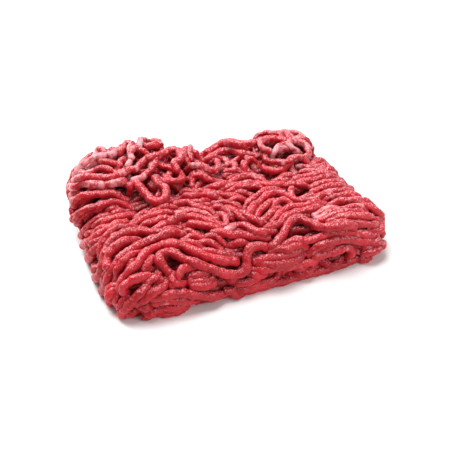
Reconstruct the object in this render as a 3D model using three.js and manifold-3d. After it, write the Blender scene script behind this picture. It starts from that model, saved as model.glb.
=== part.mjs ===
// Block of raw minced beef: a rounded slab whose whole surface is strands from a mincer plate, laid
// side by side and curled into two low piles at the back.
// Millimetres, +Z up, origin in the middle of the flat underside.
import * as THREE from "three";
import { mergeVertices } from "three/addons/utils/BufferGeometryUtils.js";
import Module from "manifold-3d";

// Driving sizes
const block = {
  length: 155, // left to right
  depth: 126, // front to back at the left end
  backSkew: 20, // how much shallower the right end is
  height: 28.5, // over the strands, away from the piles
  edgeRadius: 20, // round over the strands at every top edge and corner
  tuck: 1, // how far the sides draw in at the floor
};
const strand = {
  diameter: 4.8, // the holes of a common mincer plate
  sides: 5,
  step: 10, // length of one facet along a straight strand
  curlStep: 5.4, // the same in a tight curl
  sunk: 2.1, // how deep a strand is pressed into the mass below
  bite: 1.4, // how far a strand that lies across another is pressed into it
  nestle: 0.95, // share of the radius that carries a strand on its neighbours
  width: 0.95, // share of the radius over which a strand covers what is below
  passes: 60, // rounds that draw a strand tight over the hollows between its supports
  sag: 0.02, // how far it hangs down at each millimetre of such a bridge
};
const piles = [
  { u: -38, v: 38, halfLength: 46, halfDepth: 27, rise: 10.2 },
  { u: 52, v: 27, halfLength: 21, halfDepth: 18, rise: 7.5 },
];
const filling = {
  seed: 4188,
  strands: 330, // most strands that the rule lays
  draws: 60, // places looked at for each new strand, the lowest is taken
  shortest: 16,
  longest: 74,
  stride: 2, // length of one step of a strand that feels its way
  lean: 0.32, // radians that a step may turn to the lower side
  leanCost: 0.15, // how much lower that side has to be
  wander: 0.12, // radians that the way may change by from step to step
  mostWander: 0.35,
  crowding: 0.3, // share of a diameter that a strand may ride up on its neighbours
};
// The way the strands run, in degrees from left to right: on the left side and on the left half of
// the top, each with what is added towards the front.
const run = { side: 20, sideFront: 22, top: 8, topFront: 14 };
// Where one of these regions passes into the next, as places on the unrolled top.
const borders = {
  sideToTop: [-74, -58],
  leftToRight: [-30, 25],
  frontToBack: [-30, 5],
  faceToTop: [-68, -52],
};
const meat = { color: 0xa83036, roughness: 0.45, metalness: 0 };

// Derived sizes: the unrolled surface runs over the rounded edge and down to the floor.
const radius = strand.diameter / 2;
const coreRadius = block.edgeRadius - strand.diameter + strand.sunk;
const halfFlat = {
  u: block.length / 2 - block.edgeRadius,
  v: block.depth / 2 - block.edgeRadius,
};
const sideTop = block.height - block.edgeRadius;
const rollRadius = 18; // arc length over the edge is measured at this radius
const quarterTurn = (rollRadius * Math.PI) / 2;
const reach = Math.ceil(Math.max(halfFlat.u, halfFlat.v) + quarterTurn + sideTop) + 2;
const mapWidth = 2 * reach + 1;

// Routes of the strands that stand out, as places on the unrolled top: u to the right, v to the back.
const sweeps = [
  [[-55, 7], [-67, 9], [-76, 8], [-85, 4]],
  [[-94, -25], [-82, -31], [-73, -27], [-62, -22], [-52, -23], [-44, -28], [-36, -31]],
  [[-92, -36], [-77, -42], [-63, -38], [-50, -34], [-30, -32]],
  [[-36, -19], [-26, -20], [-19, -26], [-9, -35]],
  [[-78, -54], [-68, -50], [-57, -44], [-48, -39], [-33, -39]],
  [[-45, -39], [-37, -42], [-30, -50], [-20, -57], [-11, -60]],
  [[-91, -62], [-80, -64], [-65, -62], [-57, -59]],
  [[-60, -67], [-45, -67], [-35, -71], [-20, -77]],
  [[9, -58], [20, -56], [30, -58], [41, -57], [57, -61], [76, -60]],
  [[-6, -65], [4, -67], [14, -69], [27, -70], [34, -69]],
  [[28, -67], [38, -67], [47, -66], [52, -71], [50, -76]],
  [[4, -32], [13, -25], [21, -18], [26, -17], [32, -24], [38, -31], [47, -30], [56, -28]],
  [[5, -58], [14, -52], [22, -44], [26, -43], [31, -47], [37, -53], [55, -56]],
  [
    [-47, -57], [-50, -48], [-47, -44], [-40, -48], [-35, -54],
    [-24, -62], [-12, -66], [-7, -59], [-5, -54], [6, -55],
  ],
];
// Curls are arcs: centre, radius, the angle where they start and how far they turn, in degrees.
const curls = [
  { u: -60, v: 22, radius: 8, from: 60, turn: 150 },
  { u: -62, v: 40, radius: 8, from: -60, turn: 160 },
  { u: -44, v: 45, radius: 8, from: 10, turn: 190 },
  { u: -27, v: 43, radius: 7, from: -30, turn: 200 },
  { u: -12, v: 38, radius: 7, from: 60, turn: 180 },
  { u: -39, v: 2, radius: 9, from: 150, turn: 230 },
  { u: -22, v: 4, radius: 6.5, from: 170, turn: 210 },
  { u: -31, v: 22, radius: 7, from: 200, turn: 170 },
  { u: -47, v: 24, radius: 7, from: 80, turn: 170 },
  { u: 0, v: 10, radius: 5.5, from: 80, turn: 260 },
  { u: 27, v: 6, radius: 6, from: 190, turn: -190 },
  { u: 28, v: 22, radius: 8, from: 20, turn: 180 },
  { u: 56, v: 18, radius: 8, from: -80, turn: 190 },
  { u: 39, v: 14, radius: 8, from: 100, turn: 200 },
  { u: 50, v: 32, radius: 7, from: 30, turn: 170 },
  { u: 38, v: 32, radius: 6.5, from: 0, turn: 190 },
];

let draw = filling.seed;
function random() {
  draw = (Math.imul(draw, 1664525) + 1013904223) >>> 0;
  return draw / 2 ** 32;
}

function between(low, high) {
  return low + (high - low) * random();
}

// Where the flat top ends at the back.
function backEdgeAt(u) {
  const flatU = THREE.MathUtils.clamp(u, -halfFlat.u, halfFlat.u);
  return halfFlat.v - block.backSkew * (flatU / block.length + 0.5);
}

// How far a place on the unrolled surface lies past the flat top, and in which direction.
function overEdge(u, v) {
  const flatU = THREE.MathUtils.clamp(u, -halfFlat.u, halfFlat.u);
  const flatV = THREE.MathUtils.clamp(v, -halfFlat.v, backEdgeAt(u));
  const distance = Math.hypot(u - flatU, v - flatV);
  const unit = distance > 0 ? 1 / distance : 0;
  return { flatU, flatV, distance, outU: (u - flatU) * unit, outV: (v - flatV) * unit };
}

function pileRise(u, v) {
  return piles.reduce((sum, pile) => {
    const a = (u - pile.u) / pile.halfLength;
    const b = (v - pile.v) / pile.halfDepth;
    return sum + pile.rise * Math.exp(-2 * (a * a + b * b));
  }, 0);
}

// A place on the unrolled surface, at a height over the core, becomes a point in space.
function rollUp(u, v, height) {
  const edge = overEdge(u, v);
  const angle = Math.min(edge.distance / rollRadius, Math.PI / 2);
  const drop = Math.max(edge.distance - quarterTurn, 0);
  const drawnIn = block.tuck * Math.min(drop / sideTop, 1) ** 2;
  const out = (coreRadius + height) * Math.sin(angle) - drawnIn;
  return new THREE.Vector3(
    edge.flatU + edge.outU * out,
    edge.flatV + edge.outV * out,
    sideTop + (coreRadius + height) * Math.cos(angle) - drop,
  );
}

function onBlock(u, v) {
  return overEdge(u, v).distance < quarterTurn + sideTop - radius;
}

// Height of what lies at each whole millimetre of the unrolled surface.
const heights = new Float32Array(mapWidth * mapWidth);

function cellAt(u, v) {
  return (Math.round(v) + reach) * mapWidth + Math.round(u) + reach;
}

function startHeights() {
  for (let v = -reach; v <= reach; v += 1) {
    for (let u = -reach; u <= reach; u += 1) {
      heights[cellAt(u, v)] = pileRise(u, v) - strand.sunk;
    }
  }
}

function heightAt(u, v) {
  const safeU = THREE.MathUtils.clamp(u, -reach, reach);
  const safeV = THREE.MathUtils.clamp(v, -reach, reach);
  return heights[cellAt(safeU, safeV)];
}

// Calls visit(u, v, distance) for the map's places within a range of a point.
function eachNear(u, v, range, visit) {
  const whole = Math.ceil(range);
  for (let dv = -whole; dv <= whole; dv += 1) {
    for (let du = -whole; du <= whole; du += 1) {
      const distance = Math.hypot(du, dv);
      if (distance <= range) visit(u + du, v + dv, distance);
    }
  }
}

function restingHeight(u, v) {
  let rest = -Infinity;
  eachNear(u, v, radius * strand.nestle, (nearU, nearV, distance) => {
    rest = Math.max(rest, heightAt(nearU, nearV) + Math.sqrt(radius ** 2 - distance ** 2));
  });
  return rest;
}

// How much higher than on the bare mass a strand would lie here.
function ridesUp(u, v) {
  return restingHeight(u, v) - pileRise(u, v) - (radius - strand.sunk) + strand.bite;
}

function evenPath(points, spacing) {
  const curve = new THREE.CatmullRomCurve3(
    points.map(([u, v]) => new THREE.Vector3(u, v, 0)),
    false,
    "centripetal",
  );
  const count = Math.max(Math.round(curve.getLength() / spacing), 3);
  return curve.getSpacedPoints(count);
}

// A strand rests on what is under it and bridges the hollows between.
function layDown(path) {
  const floor = path.map((p) => restingHeight(p.x, p.y));
  const level = floor.slice();
  for (let pass = 0; pass < strand.passes; pass += 1) {
    for (let i = 1; i < level.length - 1; i += 1) {
      level[i] = Math.max(floor[i], (level[i - 1] + level[i + 1]) / 2 - strand.sag);
    }
  }
  path.forEach((p, i) => {
    eachNear(p.x, p.y, radius * strand.width, (u, v, distance) => {
      if (Math.abs(u) > reach || Math.abs(v) > reach) return;
      const top = level[i] + Math.sqrt(radius ** 2 - distance ** 2) - strand.bite;
      const cell = cellAt(u, v);
      heights[cell] = Math.max(heights[cell], top);
    });
  });
  return path.map((p, i) => rollUp(p.x, p.y, level[i]));
}

// They climb the left side, fall off over the left half of the top and run level on the right and
// down the front.
function grain(u, v) {
  const onSide = 1 - THREE.MathUtils.smoothstep(u, ...borders.sideToTop);
  const onLeft = 1 - THREE.MathUtils.smoothstep(u, ...borders.leftToRight);
  const front = 1 - THREE.MathUtils.smoothstep(v, ...borders.frontToBack);
  const onTop = THREE.MathUtils.smoothstep(v, ...borders.faceToTop);
  const climb = onSide * (run.side + run.sideFront * front);
  const fall = (1 - onSide) * onLeft * onTop * (run.top + run.topFront * front);
  return THREE.MathUtils.degToRad(climb - fall);
}

// One end of a strand that follows the grain and leans to the lower side as it goes.
function feelWay(start, forward, length) {
  const path = [];
  let [u, v] = start;
  let wander = 0;
  for (let gone = 0; gone < length; gone += filling.stride) {
    wander += between(-filling.wander, filling.wander);
    wander = THREE.MathUtils.clamp(wander, -filling.mostWander, filling.mostWander);
    const heading = grain(u, v) + wander + (forward ? 0 : Math.PI);
    const ways = [-1, 0, 1].map((side) => {
      const angle = heading + side * filling.lean;
      const next = [u + filling.stride * Math.cos(angle), v + filling.stride * Math.sin(angle)];
      return { next, cost: restingHeight(next[0], next[1]) + Math.abs(side) * filling.leanCost };
    });
    const best = ways.reduce((low, way) => (way.cost < low.cost ? way : low));
    [u, v] = best.next;
    if (!onBlock(u, v)) break;
    if (ridesUp(u, v) > strand.diameter * filling.crowding) break;
    path.push([u, v]);
  }
  return path;
}

// Gaps where no strand fits.
const tooSmall = new Set();

function lowestPlace() {
  let best = null;
  for (let i = 0; i < filling.draws; i += 1) {
    const u = between(-reach, reach);
    const v = between(-reach, reach);
    if (!onBlock(u, v) || tooSmall.has(cellAt(u, v))) continue;
    const cover = ridesUp(u, v);
    if (best === null || cover < best.cover) best = { u, v, cover };
  }
  return best;
}

function fillingStrand() {
  const seed = lowestPlace();
  if (seed === null || seed.cover > strand.diameter * filling.crowding) return null;
  const half = between(filling.shortest, filling.longest) / 2;
  const start = [seed.u, seed.v];
  const back = feelWay(start, false, half).reverse();
  const path = [...back, start, ...feelWay(start, true, half)];
  if (path.length * filling.stride >= filling.shortest) return path;
  eachNear(seed.u, seed.v, radius, (u, v) => tooSmall.add(cellAt(u, v)));
  return null;
}

function curlPath(curl) {
  const turns = 10;
  return Array.from({ length: turns + 1 }, (_, i) => {
    const angle = THREE.MathUtils.degToRad(curl.from + (curl.turn * i) / turns);
    return [curl.u + curl.radius * Math.cos(angle), curl.v + curl.radius * Math.sin(angle)];
  });
}

// Every strand's centre line, in the order they come to lie.
function layStrands() {
  startHeights();
  const lines = sweeps.map((route) => ({ points: layDown(evenPath(route, 1)), step: strand.step }));
  for (let i = 0; i < filling.strands; i += 1) {
    const route = fillingStrand();
    if (route) lines.push({ points: layDown(evenPath(route, 1)), step: strand.step });
  }
  for (const curl of curls) {
    lines.push({ points: layDown(evenPath(curlPath(curl), 1)), step: strand.curlStep });
  }
  return lines;
}

// Solids
function strandGeometry(line) {
  const every = 3;
  const last = line.points.length - 1;
  const guides = line.points.filter((_, i) => i % every === 0 && last - i >= every);
  guides.push(line.points[last]);
  const path = new THREE.CatmullRomCurve3(guides, false, "centripetal");
  const section = new THREE.Shape();
  for (let i = 0; i < strand.sides; i += 1) {
    const angle = (2 * Math.PI * i) / strand.sides;
    const x = radius * Math.cos(angle);
    const y = radius * Math.sin(angle);
    if (i === 0) section.moveTo(x, y);
    else section.lineTo(x, y);
  }
  const steps = Math.max(Math.round(path.getLength() / line.step), 2);
  return new THREE.ExtrudeGeometry(section, { steps, extrudePath: path, bevelEnabled: false });
}

// Places along one direction of the unrolled surface: past the floor, over one round edge, across the
// flat top, over the other edge and past the floor again.
function gridLine(low, high, topSteps) {
  const edgeSteps = 4;
  const belowFloor = 4;
  const pastFloor = quarterTurn + sideTop + belowFloor;
  const line = [low - pastFloor];
  for (let i = 0; i < edgeSteps; i += 1) line.push(low - quarterTurn * (1 - i / edgeSteps));
  for (let i = 0; i <= topSteps; i += 1) line.push(low + ((high - low) * i) / topSteps);
  for (let i = 1; i <= edgeSteps; i += 1) line.push(high + (quarterTurn * i) / edgeSteps);
  line.push(high + pastFloor);
  return line;
}

// The solid mass below the strands: a net of points rolled over the round edges, closed below the floor.
function coreGeometry() {
  const topSteps = { u: 9, v: 7 };
  const depthUnder = 80;
  const columns = gridLine(-halfFlat.u, halfFlat.u, topSteps.u);
  const points = columns.flatMap((u) =>
    gridLine(-halfFlat.v, backEdgeAt(u), topSteps.v).map((v) => rollUp(u, v, pileRise(u, v))),
  );
  const rows = points.length / columns.length;
  const faces = [];
  for (let i = 0; i + 1 < columns.length; i += 1) {
    for (let j = 0; j + 1 < rows; j += 1) {
      const [a, b] = [i * rows + j, (i + 1) * rows + j];
      faces.push(a, b, b + 1, a, b + 1, a + 1);
    }
  }
  const rim = [];
  const lastColumn = (columns.length - 1) * rows;
  for (let i = 0; i + 1 < columns.length; i += 1) rim.push(i * rows);
  for (let j = 0; j + 1 < rows; j += 1) rim.push(lastColumn + j);
  for (let i = columns.length - 1; i > 0; i -= 1) rim.push(i * rows + rows - 1);
  for (let j = rows - 1; j > 0; j -= 1) rim.push(j);
  const foot = points.length;
  points.push(new THREE.Vector3(0, 0, -depthUnder));
  rim.forEach((place, i) => faces.push(foot, rim[(i + 1) % rim.length], place));
  const geometry = new THREE.BufferGeometry().setFromPoints(points);
  geometry.setIndex(faces);
  return geometry;
}

// Joins
const wasm = await Module();
wasm.setup();

function toSolid(geometry) {
  const bare = geometry.clone();
  bare.deleteAttribute("normal");
  bare.deleteAttribute("uv");
  const merged = mergeVertices(bare, 1e-4);
  return new wasm.Manifold(
    new wasm.Mesh({
      numProp: 3,
      vertProperties: new Float32Array(merged.attributes.position.array),
      triVerts: new Uint32Array(merged.index.array),
    }),
  );
}

function joinAll(solids) {
  let round = solids;
  while (round.length > 1) {
    const next = [];
    for (let i = 0; i < round.length; i += 2) {
      next.push(i + 1 < round.length ? round[i].add(round[i + 1]) : round[i]);
    }
    round = next;
  }
  return round[0];
}

// The outer skin alone: inner hollows and loose scraps are separate shells and are dropped.
function largestShell(mesh) {
  const owner = Array.from({ length: mesh.numVert }, (_, i) => i);
  const find = (i) => {
    let at = i;
    while (owner[at] !== at) {
      owner[at] = owner[owner[at]];
      at = owner[at];
    }
    return at;
  };
  for (let i = 0; i < mesh.triVerts.length; i += 3) {
    const [a, b, c] = mesh.triVerts.slice(i, i + 3);
    owner[find(b)] = find(a);
    owner[find(c)] = find(a);
  }
  const counts = new Map();
  for (let i = 0; i < mesh.triVerts.length; i += 3) {
    const shell = find(mesh.triVerts[i]);
    counts.set(shell, (counts.get(shell) ?? 0) + 1);
  }
  const [largest] = [...counts.entries()].reduce((a, b) => (b[1] > a[1] ? b : a));
  const kept = [];
  for (let i = 0; i < mesh.triVerts.length; i += 3) {
    if (find(mesh.triVerts[i]) === largest) kept.push(...mesh.triVerts.slice(i, i + 3));
  }
  return kept;
}

function toGeometry(solid) {
  const mesh = solid.getMesh();
  const points = [];
  for (const vertex of largestShell(mesh)) {
    points.push(...mesh.vertProperties.slice(3 * vertex, 3 * vertex + 3));
  }
  const geometry = new THREE.BufferGeometry();
  geometry.setAttribute("position", new THREE.Float32BufferAttribute(points, 3));
  return geometry;
}

function minceBlock() {
  const lines = layStrands();
  const strands = lines.map((line) => toSolid(strandGeometry(line)));
  const below = new THREE.BoxGeometry(4 * reach, 4 * reach, 4 * reach);
  below.translate(0, 0, -2 * reach);
  const whole = joinAll([toSolid(coreGeometry()), ...strands]).subtract(toSolid(below));
  const geometry = toGeometry(whole);
  geometry.computeBoundingBox();
  const middle = geometry.boundingBox.getCenter(new THREE.Vector3());
  geometry.translate(-middle.x, -middle.y, 0);
  geometry.computeVertexNormals();
  const mesh = new THREE.Mesh(geometry, new THREE.MeshStandardMaterial(meat));
  mesh.name = "mince_block";
  return mesh;
}

const model = new THREE.Group();
model.add(minceBlock());
export default model;
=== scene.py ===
# Block of raw minced beef: strands from a mincer plate laid over a dark core, with curls piled at the back.
import math
import bmesh
import bpy
import numpy as np
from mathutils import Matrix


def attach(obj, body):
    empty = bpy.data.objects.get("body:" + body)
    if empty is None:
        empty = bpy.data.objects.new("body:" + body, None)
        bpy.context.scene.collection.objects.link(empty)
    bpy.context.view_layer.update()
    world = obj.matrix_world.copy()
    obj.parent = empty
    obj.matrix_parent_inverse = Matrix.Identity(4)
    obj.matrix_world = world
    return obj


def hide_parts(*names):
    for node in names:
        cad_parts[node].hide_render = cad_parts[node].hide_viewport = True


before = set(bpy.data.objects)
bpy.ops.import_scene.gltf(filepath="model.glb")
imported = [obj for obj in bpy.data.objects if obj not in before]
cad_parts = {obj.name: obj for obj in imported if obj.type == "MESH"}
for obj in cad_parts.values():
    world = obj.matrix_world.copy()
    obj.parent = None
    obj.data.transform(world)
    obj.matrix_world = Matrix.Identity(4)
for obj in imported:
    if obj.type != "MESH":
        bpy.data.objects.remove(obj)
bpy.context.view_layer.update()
millimetre = 0.001
draws = np.random.default_rng(4188)

# The block, in millimetres: the same rounded slab as its solid, with the strands' tops at its outline.
block = {
    "length": 155.0,
    "depth": 126.0,
    "backSkew": 20.0,  # how much shallower the right end is
    "height": 28.5,  # over the strands, away from the piles
    "edgeRadius": 20.0,
    "tuck": 1.0,  # how far the sides draw in at the floor
    "unevenness": 0.7,  # slow rise and fall of the whole surface
}
strand = {
    "diameter": 4.3,
    "bite": 1.0,  # how far a strand is pressed into what it lies on
    "dive": 4.0,  # how far an end goes down between its neighbours
    "diveLength": 9.0,
    "nestle": 0.6,  # share of the radius that carries a strand on its neighbours
    "cover": 0.97,  # share of the radius over which it covers what is below
    "spacing": 1.0,  # between the points of a path
    "bridging": 80,  # passes that draw a strand tight over hollows
    "sag": 0.012,  # how far it hangs down at each point of such a bridge
    "evened": 4,  # passes that round its bends in height
    "pressed": 0.5,  # how far these may press it below its rest
}
piles = [
    {"u": -38.0, "v": 40.0, "halfLength": 46.0, "halfDepth": 27.0, "rise": 8.0},
    {"u": 52.0, "v": 27.0, "halfLength": 21.0, "halfDepth": 18.0, "rise": 7.5},
]
# Slow swells and dents of the outline.
swells = [
    {"u": -52.0, "v": 46.0, "radius": 13.0, "rise": 2.5},
    {"u": -17.0, "v": 43.0, "radius": 9.0, "rise": 2.0},
    {"u": -88.0, "v": 38.0, "radius": 14.0, "rise": -3.5},
    {"u": 74.0, "v": 24.0, "radius": 10.0, "rise": -2.0},
    {"u": 80.0, "v": -46.0, "radius": 14.0, "rise": 1.2},
    {"u": -19.0, "v": -80.0, "radius": 9.0, "rise": 1.5},
    {"u": 12.0, "v": -83.0, "radius": 14.0, "rise": -1.0},
    {"u": -93.0, "v": -15.0, "radius": 28.0, "rise": 1.0},
]
# Dark hollows between the strands: place, radius and depth.
hollows = [
    {"u": -46.5, "v": 4.0, "radius": 4.5, "depth": 5.0},
    {"u": -46.0, "v": -4.5, "radius": 4.0, "depth": 4.5},
    {"u": -44.5, "v": -50.0, "radius": 4.5, "depth": 5.5},
    {"u": -40.0, "v": -60.5, "radius": 2.5, "depth": 4.0},
    {"u": -66.5, "v": -57.5, "radius": 3.2, "depth": 4.0},
    {"u": -80.0, "v": -21.0, "radius": 4.0, "depth": 4.0},
    {"u": -48.5, "v": -30.0, "radius": 3.0, "depth": 3.0},
    {"u": -21.0, "v": -48.0, "radius": 3.5, "depth": 4.0},
    {"u": -12.5, "v": -51.0, "radius": 3.5, "depth": 4.5},
    {"u": -4.0, "v": -34.0, "radius": 3.0, "depth": 4.0},
    {"u": 0.5, "v": -58.0, "radius": 2.8, "depth": 4.0},
    {"u": 20.0, "v": -52.5, "radius": 4.0, "depth": 5.5},
    {"u": 27.0, "v": -51.5, "radius": 4.0, "depth": 5.5},
    {"u": 39.5, "v": -22.0, "radius": 4.5, "depth": 5.5},
    {"u": 25.0, "v": 7.0, "radius": 4.5, "depth": 5.5},
    {"u": 31.0, "v": 3.0, "radius": 4.5, "depth": 5.0},
    {"u": 32.5, "v": -9.0, "radius": 2.5, "depth": 4.0},
    {"u": 59.0, "v": -41.0, "radius": 2.5, "depth": 3.0},
    {"u": 37.0, "v": -71.5, "radius": 3.5, "depth": 4.5},
    {"u": 44.5, "v": -71.5, "radius": 3.5, "depth": 4.5},
    {"u": 6.5, "v": -71.5, "radius": 3.0, "depth": 4.0},
    {"u": -22.0, "v": -70.5, "radius": 2.5, "depth": 4.0},
    {"u": -15.5, "v": 8.0, "radius": 3.5, "depth": 4.5},
]

# Camera: degrees from the front and up, and millimetres.
view = {"azimuth": -22.27, "elevation": 36.06, "distance": 404.25, "aim": (-3.6, -20.05, 14.5), "lens": 60.0}

halfU = block["length"] / 2 - block["edgeRadius"]
halfV = block["depth"] / 2 - block["edgeRadius"]
sideTop = block["height"] - block["edgeRadius"]
bedRadius = block["edgeRadius"] - strand["diameter"]  # round edge of the surface that the top strands lie on
rollRadius = 18.0  # arc length over the edge is measured at this radius
quarterTurn = rollRadius * math.pi / 2
reach = int(math.ceil(max(halfU, halfV) + quarterTurn + sideTop)) + 2
middleRadius = strand["diameter"] / 2


def smoothstep(x, low, high):
    t = np.clip((x - low) / (high - low), 0, 1)
    return t * t * (3 - 2 * t)


# The surface is unrolled: u runs to the right and v to the back, over the round edges and down to the floor.
def overEdge(u, v):
    flatU = np.clip(u, -halfU, halfU)
    backEdge = halfV - block["backSkew"] * (flatU / block["length"] + 0.5)
    flatV = np.minimum(np.maximum(v, -halfV), backEdge)
    outU, outV = u - flatU, v - flatV
    distance = np.hypot(outU, outV)
    unit = 1 / np.maximum(distance, 1e-9)
    return flatU, flatV, distance, outU * unit, outV * unit


def rollUp(u, v, height):
    flatU, flatV, distance, outU, outV = overEdge(u, v)
    angle = np.minimum(distance / rollRadius, math.pi / 2)
    drop = np.maximum(distance - quarterTurn, 0)
    drawnIn = block["tuck"] * np.minimum(drop / sideTop, 1) ** 2
    out = (bedRadius + height) * np.sin(angle) - drawnIn
    up = sideTop + (bedRadius + height) * np.cos(angle) - drop
    return np.stack([flatU + outU * out, flatV + outV * out, up], -1)


def onBlock(u, v, radius=middleRadius):
    return overEdge(u, v)[2] < quarterTurn + sideTop - radius


def pileRise(u, v):
    total = 0.0
    for pile in piles:
        a = (u - pile["u"]) / pile["halfLength"]
        b = (v - pile["v"]) / pile["halfDepth"]
        total = total + pile["rise"] * np.exp(-2 * (a * a + b * b))
    return total


def roundSpots(u, v, spots, amount):
    total = 0.0
    for spot in spots:
        far = ((u - spot["u"]) ** 2 + (v - spot["v"]) ** 2) / spot["radius"] ** 2
        total = total + spot[amount] * np.exp(-far)
    return total


def slowRise(u, v):
    return pileRise(u, v) + roundSpots(u, v, swells, "rise")


# What the top strands lie on. Three slow waves that cross each other, given by their lengths, make it uneven.
def bedHeight(u, v):
    waves = np.sin(u / 7.1 + v / 13.0) + np.sin(v / 6.3 - u / 17.0) + np.sin((u + v) / 9.7)
    return slowRise(u, v) - roundSpots(u, v, hollows, "depth") + block["unevenness"] * waves / 2


# A map of heights, one cell a millimetre, which strands are laid on one by one.
axis = np.arange(-reach, reach + 1)
mapU, mapV = [a.astype(float) for a in np.meshgrid(axis, axis)]
bed = bedHeight(mapU, mapV)


def insideHollows():
    inside = np.zeros(bed.shape, bool)
    for hollow in hollows:
        inside |= np.hypot(mapU - hollow["u"], mapV - hollow["v"]) < hollow["radius"]
    return inside


# A layer's strands lie on each other and on the bare bed, and keep out of what is closed.
class Layer:
    def __init__(self, sunk=0.0, hollow=None):
        self.bare = bed - sunk
        self.heights = self.bare.copy()
        self.closed = np.zeros(bed.shape, bool) if hollow is None else hollow.copy()
        self.laid = []

    def isClosed(self, u, v):
        return self.closed[int(round(v)) + reach, int(round(u)) + reach]


def cells(path, span=3):
    near = np.arange(-span, span + 1)
    du, dv = [a.ravel() for a in np.meshgrid(near, near)]
    col = np.rint(path[:, 0]).astype(int)[:, None] + du
    row = np.rint(path[:, 1]).astype(int)[:, None] + dv
    distance = np.hypot(col - path[:, 0:1], row - path[:, 1:2])
    return np.clip(row + reach, 0, 2 * reach), np.clip(col + reach, 0, 2 * reach), distance


def restingHeight(heights, path, radius):
    row, col, distance = cells(path)
    bump = np.sqrt(np.maximum(radius ** 2 - distance ** 2, 0))
    rest = np.where(distance <= radius * strand["nestle"], heights[row, col] + bump, -np.inf)
    return rest.max(axis=1)


# How much higher than on the bare bed it would lie.
def ridesUp(layer, path, radius):
    return restingHeight(layer.heights, path, radius) - restingHeight(layer.bare, path, radius)


def smoothed(values, passes):
    for _ in range(passes):
        values = values.copy()
        values[1:-1] = (values[:-2] + 2 * values[1:-1] + values[2:]) / 4
    return values


def sideways(path):
    along = np.gradient(path, axis=0)
    along /= np.maximum(np.hypot(along[:, 0], along[:, 1]), 1e-9)[:, None]
    return np.stack([-along[:, 1], along[:, 0]], -1)


# A strand rolls sideways into the valley beside it, but no further than it gives.
rolling = {
    "rounds": 8,
    "probe": 0.7,  # how far to each side it feels for the valley
    "push": 0.35,  # share of the difference in height that it moves in a round
    "most": 0.4,
    "evened": 3,
}


def settled(layer, path, radius, give):
    side = sideways(path)
    moved = np.zeros(len(path))
    for _ in range(rolling["rounds"]):
        here = path + side * moved[:, None]
        left = restingHeight(layer.heights, here + side * rolling["probe"], radius)
        right = restingHeight(layer.heights, here - side * rolling["probe"], radius)
        push = np.clip((right - left) * rolling["push"], -rolling["most"], rolling["most"])
        moved = np.clip(smoothed(moved + push, rolling["evened"]), -give, give)
    return path + side * moved[:, None]


# The ends go down into the mass, each by its own share.
def divedEnds(count, shares):
    at = np.arange(count) * strand["spacing"]
    down = np.zeros(count)
    for fromEnd, share in ((at, shares[0]), (at[::-1], shares[1])):
        down += share * strand["dive"] * (1 - smoothstep(fromEnd, 0, strand["diveLength"]))
    return down


# It rests on what is under it, bridges the hollows between, and raises the map.
def layDown(layer, path, kind, radius, give, fat, dive):
    if give:
        path = settled(layer, path, radius, give)
    rest = restingHeight(layer.heights, path, radius)
    level = rest.copy()
    for _ in range(strand["bridging"]):
        level[1:-1] = np.maximum(rest[1:-1], (level[:-2] + level[2:]) / 2 - strand["sag"])
    level = np.maximum(smoothed(level, strand["evened"]), rest - strand["pressed"])
    level = level - divedEnds(len(level), dive)
    row, col, distance = cells(path)
    top = level[:, None] + np.sqrt(np.maximum(radius ** 2 - distance ** 2, 0)) - strand["bite"]
    inside = distance <= radius * strand["cover"]
    np.maximum.at(layer.heights, (row[inside], col[inside]), top[inside])
    points = rollUp(path[:, 0], path[:, 1], level)
    layer.laid.append({"path": path, "points": points, "radius": radius, "kind": kind, "fat": fat})


# A smooth line through the points of a route, cut into even steps.
def evenPath(points, spacing=strand["spacing"]):
    finePerMillimetre, fewestSteps = 4, 4
    points = np.array(points, float)
    ends = np.vstack([2 * points[0] - points[1], points, 2 * points[-1] - points[-2]])
    bits = []
    for i in range(1, len(ends) - 2):
        p0, p1, p2, p3 = ends[i - 1:i + 3]
        steps = max(int(np.hypot(*(p2 - p1)) * finePerMillimetre), 2)
        t = np.linspace(0, 1, steps, endpoint=False)[:, None]
        turn = (2 * p0 - 5 * p1 + 4 * p2 - p3) * t ** 2 + (3 * p1 - p0 - 3 * p2 + p3) * t ** 3
        bits.append(0.5 * (2 * p1 + (p2 - p0) * t + turn))
    fine = np.vstack(bits + [points[-1:]])
    run = np.concatenate([[0], np.cumsum(np.hypot(*np.diff(fine, axis=0).T))])
    at = np.linspace(0, run[-1], max(int(round(run[-1] / spacing)), fewestSteps) + 1)
    return np.stack([np.interp(at, run, fine[:, 0]), np.interp(at, run, fine[:, 1])], -1)


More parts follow.
